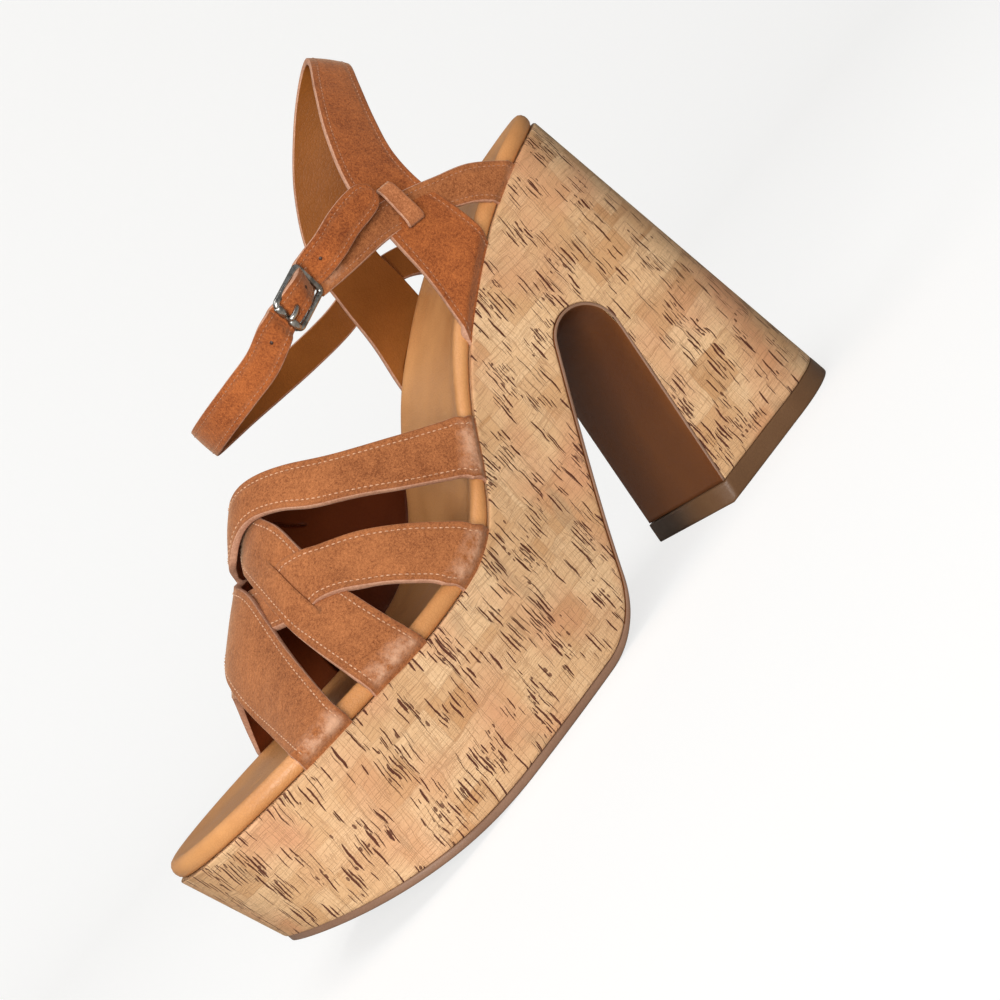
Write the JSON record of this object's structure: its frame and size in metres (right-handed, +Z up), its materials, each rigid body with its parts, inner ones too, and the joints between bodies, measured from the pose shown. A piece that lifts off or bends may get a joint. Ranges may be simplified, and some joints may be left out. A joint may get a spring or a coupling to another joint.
{
  "type": "platform sandal",
  "caption": "Women's platform sandal for the left foot with a cork-covered platform and block heel, woven suede vamp straps and a buckled ankle strap.",
  "frame": {"origin": "middle of the bounding box's bottom, on the floor that the heel and the ball stand on", "axes": "+X towards the toe, +Y towards the lateral (outer) side, +Z up"},
  "size_m": [0.2392, 0.0934, 0.1764],
  "materials": {
    "cork": "matt natural cork with short dark streaks",
    "sole_rubber": "satin brown",
    "lift_rubber": "satin brown",
    "lining_leather": "smooth satin tan",
    "suede": "soft matt cognac suede with pale stitching",
    "old_brass": "aged, satin"
  },
  "bodies": {
    "root": {"cork_platform": "cork", "outsole": "sole_rubber", "top_lift": "lift_rubber", "footbed": "lining_leather", "vamp_straps": "suede", "ankle_straps": "suede", "buckle_frame": "old_brass", "buckle_pin": "old_brass"}
  },
  "joints": []
}
